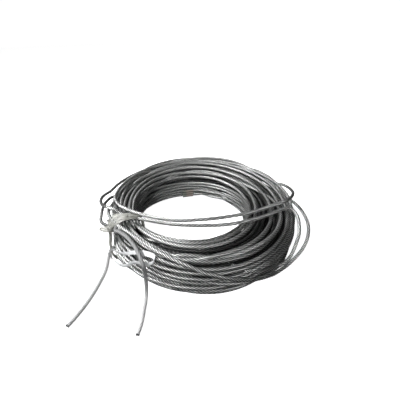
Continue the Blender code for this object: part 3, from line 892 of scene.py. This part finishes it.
def make_film(material):
    """The film's band, with its knot, its flattened end and its fibres."""
    rows = film_rows()
    band = sheet_piece("film_band", rows, material)
    knot = make_knot(material)
    end = make_film_end(material)
    fibres = make_fibres(material)
    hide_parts("film_tie")
    for piece in (knot, end, fibres):
        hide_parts("film_knot")


def make_knot(material):
    """Knot of the film: a lump of bunched folds that twist round it."""
    around, over = KNOT_GRID
    across = 2 * math.pi * np.arange(around + 1) / around
    down = math.pi * np.arange(over + 1) / over
    down, across = np.meshgrid(down, across, indexing="ij")
    folds = np.sin(KNOT_FOLDS * across + 2.6 * down) + 0.5 * np.sin(3 * across - 4.0 * down)
    reach = 1 + KNOT_FOLD_DEPTH * folds * np.sin(down)
    ball = (np.sin(down) * np.cos(across), np.cos(down), np.sin(down) * np.sin(across))
    shape = np.stack(ball, axis=-1)
    sizes = np.array(KNOT_SIZE) / 2
    rows = []
    for row in shape * reach[..., None] * sizes:
        rows.append([at_tie(*(np.array(KNOT_PLACE) + point)) for point in row])
    return sheet_piece("film_bow", np.array(rows), material)


def make_film_end(material):
    """Flattened end of the film, out of the knot."""
    stations = smooth_stations(FILM_END, 5, False)
    shares = np.linspace(-1.0, 1.0, 11)
    rows = []
    for index, (distance, shift, height, half_width) in enumerate(stations):
        wave_height = 0.5 * np.sin(2.4 * math.pi * shares + 0.25 * index)
        row = []
        for share, lift in zip(shares, wave_height):
            aside = share * half_width * np.array(FILM_END_ACROSS) + lift * np.array(FILM_END_FACING)
            row.append(at_tie(distance + aside[0], shift + aside[1], height + aside[2]))
        rows.append(row)
    return sheet_piece("film_end", np.array(rows), material)


def make_fibres(material):
    """Frayed fibres of the split film below the knot."""
    rng = np.random.default_rng(SEED + 1)
    tubes = []
    for _ in range(FIBRES):
        start = rng.uniform(*FIBRE_STARTS)
        end = start + rng.uniform(*FIBRE_REACHES)
        side = rng.normal(0.0, FIBRE_BOW, 3)
        shares = np.linspace(0.0, 1.0, 9)[:, None]
        line = start + (end - start) * shares + side * np.sin(math.pi * shares * 1.4)
        tubes.append((np.array([at_tie(*point) for point in line]), FIBRE_RADIUS))
    return tube_piece("film_fibres", tubes, 5, material)


def beside_wall(azimuth, share, gap):
    """Point at a gap from the wall and its rounded corners, and the way up along the wall there."""
    height = share * BUNDLE_HEIGHT
    past = max(height - (BUNDLE_HEIGHT - RIBBON_EDGE), 0.0) - max(RIBBON_EDGE - height, 0.0)
    angle = math.asin(past / (RIBBON_EDGE + gap))
    radius = RIBBON_WALL - RIBBON_EDGE + (RIBBON_EDGE + gap) * math.cos(angle)
    turn = math.radians(azimuth)
    outward = np.array((math.cos(turn), math.sin(turn)))
    centre = np.array((*(outward * radius), height))
    up = np.array((*(outward * -math.sin(angle)), math.cos(angle)))
    return centre, up


def left_end_place(azimuth, share, angle, gap):
    """Place beside the wall where the ribbon's width has turned outwards from its inner edge."""
    centre, up = beside_wall(azimuth, share, gap)
    turn = math.radians(azimuth)
    outward = np.array((math.cos(turn), math.sin(turn), 0.0))
    lean = math.radians(angle)
    centre = centre + outward * (RIBBON_WIDTH / 2 * math.sin(lean))
    return centre, up * math.cos(lean) + outward * math.sin(lean)


def ribbon_rows():
    """Rows across the ribbon: along its upper run, round its fold, back below and up again."""
    fold_azimuth = RIBBON_UPPER_RUN[-1][0] + RIBBON_FOLD_TURN
    fold_share = (RIBBON_UPPER_RUN[-1][1] + RIBBON_LOWER_RUN[0][1]) / 2
    fold_gap = (RIBBON_UPPER_GAP + RIBBON_LOWER_GAP) / 2
    places = [left_end_place(*place, RIBBON_LOWER_GAP) for place in RIBBON_LEFT_START]
    places.extend(beside_wall(*place, RIBBON_UPPER_GAP) for place in RIBBON_UPPER_RUN)
    places.append(beside_wall(fold_azimuth, fold_share, fold_gap))
    places.extend(beside_wall(*place, RIBBON_LOWER_GAP) for place in RIBBON_LOWER_RUN)
    places.extend(left_end_place(*place, RIBBON_LEFT_GAP) for place in RIBBON_LEFT_END)
    stations = smooth_stations([(*centre, *up) for centre, up in places], 6, False)
    shares = np.linspace(-1.0, 1.0, 9)
    outwards = unit(stations[:, :3] * (1.0, 1.0, 0.0))
    rows = []
    for index, station in enumerate(stations):
        turn = 2 * math.pi * index / (len(stations) - 1)
        lean = 0.15 * math.sin(2 * turn + 0.8)
        across = unit(unit(station[3:]) * math.cos(lean) + outwards[index] * math.sin(lean))
        half = RIBBON_WIDTH / 2 * (0.86 + 0.14 * math.cos(3 * turn))
        curl = RIBBON_CURL * (1 - shares ** 2)
        rows.append([station[:3] + across * half * share + outwards[index] * lift
                     for share, lift in zip(shares, curl)])
    return np.array(rows)


def make_ribbon(material):
    rows = ribbon_rows()
    ribbon = sheet_piece("satin_loop", rows, material)
    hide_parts("ribbon_loop")


def make_tape(material):
    """Patch of tape pressed over the turns of the bore's wall."""
    low, high = TAPE_HEIGHTS
    azimuths = np.radians(np.linspace(*TAPE_AZIMUTHS, TAPE_POINTS))
    heights = np.linspace(low, high, TAPE_POINTS)
    rows = []
    for azimuth in azimuths:
        radius = TAPE_RADIUS + TAPE_BUMP * np.cos(2 * math.pi * (heights - low) / ROPE_DIAMETER)
        rows.append(np.stack((radius * math.cos(azimuth), radius * math.sin(azimuth), heights), axis=-1))
    rows = np.array(rows)
    tape = sheet_piece("paper_patch", rows, material)
    along = float(lengths_along(rows[:, TAPE_POINTS // 2])[-1])
    flat = tape.data.uv_layers["flat"]
    values = np.empty(len(flat.data) * 2)
    flat.data.foreach_get("uv", values)
    flat.data.foreach_set("uv", (values / along).astype(np.float32))
    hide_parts("tape_patch")


def make_floor():
    """Pale floor and a plain dome behind it, both bright enough to look white."""
    material, _, _, shader = new_material("pale_floor")
    shader.inputs["Base Color"].default_value = (0.92, 0.92, 0.92, 1.0)
    shader.inputs["Roughness"].default_value = 0.9
    shader.inputs["Emission Color"].default_value = (1.0, 1.0, 1.0, 1.0)
    shader.inputs["Emission Strength"].default_value = FLOOR_GLOW
    bpy.ops.mesh.primitive_plane_add(size=FLOOR_SIZE, location=(0.0, 0.0, 0.0))
    stage_piece(bpy.context.object, "pale_floor", material)
    bpy.ops.mesh.primitive_uv_sphere_add(segments=48, ring_count=24, radius=DOME_RADIUS)
    stage_piece(bpy.context.object, "pale_dome", material)


def stage_piece(piece, name, material):
    """Backdrop that the camera sees, and that neither lights nor shades the coil."""
    piece.name = name
    piece.data.materials.append(material)
    piece.visible_diffuse = False
    piece.visible_glossy = False
    piece.visible_shadow = False


def add_area_light(name, place, size, power):
    light = bpy.data.lights.new(name, "AREA")
    light.shape = "RECTANGLE"
    light.size, light.size_y = size
    light.energy = power
    lamp = bpy.data.objects.new(name, light)
    bpy.context.scene.collection.objects.link(lamp)
    lamp.location = place
    lamp.rotation_euler = (Vector(LIGHT_TARGET) - Vector(place)).to_track_quat("-Z", "Y").to_euler()


def make_lights():
    world = bpy.data.worlds.new("studio")
    bpy.context.scene.world = world
    world.use_nodes = True
    background = world.node_tree.nodes["Background"]
    background.inputs["Color"].default_value = (1.0, 1.0, 1.0, 1.0)
    background.inputs["Strength"].default_value = WORLD_LIGHT
    for name, azimuth, elevation, distance, size, power in SOFTBOXES:
        turn = math.radians(azimuth)
        rise = math.radians(elevation)
        flat = distance * math.cos(rise)
        place = (flat * math.cos(turn), flat * math.sin(turn), distance * math.sin(rise))
        add_area_light(name, place, size, power)


def make_camera():
    camera = bpy.data.cameras.new("photo_view")
    camera.lens = CAMERA_LENS_MM
    camera.sensor_width = CAMERA_SENSOR_MM
    camera.sensor_fit = "HORIZONTAL"
    camera.clip_start = 0.01
    view = bpy.data.objects.new("photo_view", camera)
    bpy.context.scene.collection.objects.link(view)
    view.location = CAMERA_PLACE + AXIS
    view.rotation_euler = (math.pi / 2 - CAMERA_PITCH, 0.0, 0.0)
    bpy.context.scene.camera = view


make_camera()
make_lights()
make_floor()
strands = wire_material("galvanised_strands", STRAND_METALLIC, STRAND_ROUGHNESS,
                        GROOVE_SHADE_COLOUR, GREASE_AND_SHADE_COLOUR, CREST_HIGHLIGHT_COLOUR)
core_strands = wire_material("shaded_core_strands", STRAND_METALLIC, STRAND_ROUGHNESS,
                             GROOVE_SHADE_COLOUR, CORE_SHADED_GREASE_COLOUR, CORE_SHADED_CREST_COLOUR)
tail_strands = wire_material("lit_tail_strands", TAIL_METALLIC, TAIL_ROUGHNESS,
                             TAIL_GROOVE_SHADE_COLOUR, TAIL_LIT_FLANK_COLOUR, TAIL_CREST_HIGHLIGHT_COLOUR, shaded_top=True)
make_wound_turns(strands, core_strands)
make_loose_rope(strands, tail_strands)
make_film(film_material())
make_ribbon(ribbon_material())
make_tape(tape_material())
bpy.context.scene.view_settings.view_transform = "Standard"
